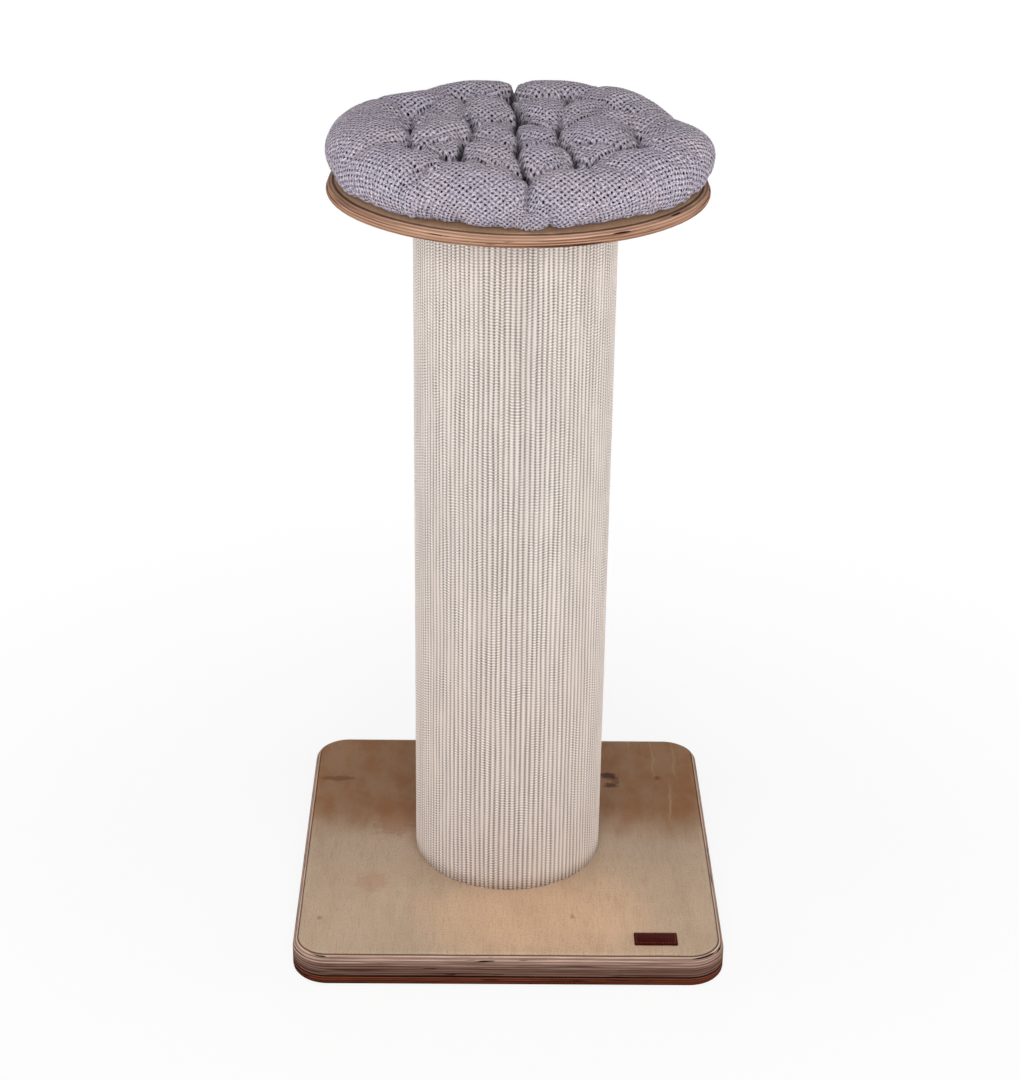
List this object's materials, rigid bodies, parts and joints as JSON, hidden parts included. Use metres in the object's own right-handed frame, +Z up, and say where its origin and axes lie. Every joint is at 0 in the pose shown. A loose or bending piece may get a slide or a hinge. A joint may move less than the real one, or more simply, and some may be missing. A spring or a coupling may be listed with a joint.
{
  "type": "cat scratching post",
  "caption": "Thick upright column in a ribbed sisal mat on a square rounded plywood base, with a round plywood platform and a loose round tufted cushion on top.",
  "frame": {"origin": "centre of the base's underside", "axes": "+Z up along the column, -Y towards the front edge that carries the leather tag, +X to the right seen from the front"},
  "size_m": [0.45, 0.45, 0.8583],
  "materials": {
    "birch_plywood": "satin lacquered birch plywood",
    "underboard_plywood": "darker plywood edge",
    "raw_plywood": "raw sawn plywood",
    "cardboard": "spiral-wound cardboard",
    "sisal": "ribbed natural sisal weave",
    "lilac_fabric": "grey-lilac raised weave",
    "tag_leather": "dark red-brown leather",
    "zinc_steel": "bright zinc plated",
    "yellow_zinc": "yellow zinc plated"
  },
  "bodies": {
    "post": {"base_underboard": "underboard_plywood", "base_board": "birch_plywood", "leather_tag": "tag_leather", "underboard_screw_1": "yellow_zinc", "underboard_screw_2": "yellow_zinc", "underboard_screw_3": "yellow_zinc", "underboard_screw_4": "yellow_zinc", "base_bolt_1": "zinc_steel", "base_bolt_2": "zinc_steel", "base_bolt_3": "zinc_steel", "base_bolt_4": "zinc_steel", "core_tube": "cardboard", "sisal_mat": "sisal", "bottom_plug": "raw_plywood", "top_plug": "raw_plywood", "base_insert_1": "yellow_zinc", "base_insert_2": "yellow_zinc", "base_insert_3": "yellow_zinc", "base_insert_4": "yellow_zinc", "plug_screw_lower_1": "yellow_zinc", "plug_screw_lower_2": "yellow_zinc", "plug_screw_lower_3": "yellow_zinc", "plug_screw_lower_4": "yellow_zinc", "plug_screw_upper_1": "yellow_zinc", "plug_screw_upper_2": "yellow_zinc", "plug_screw_upper_3": "yellow_zinc", "plug_screw_upper_4": "yellow_zinc", "platform": "birch_plywood", "platform_screw_1": "yellow_zinc", "platform_screw_2": "yellow_zinc", "platform_screw_3": "yellow_zinc", "platform_screw_4": "yellow_zinc"},
    "cushion": {"cushion": "lilac_fabric"}
  },
  "joints": [
    {"name": "cushion_lift", "type": "slide", "parent": "post", "child": "cushion", "axis": [0, 0, 1], "range_m": [0, 0.12]}
  ]
}
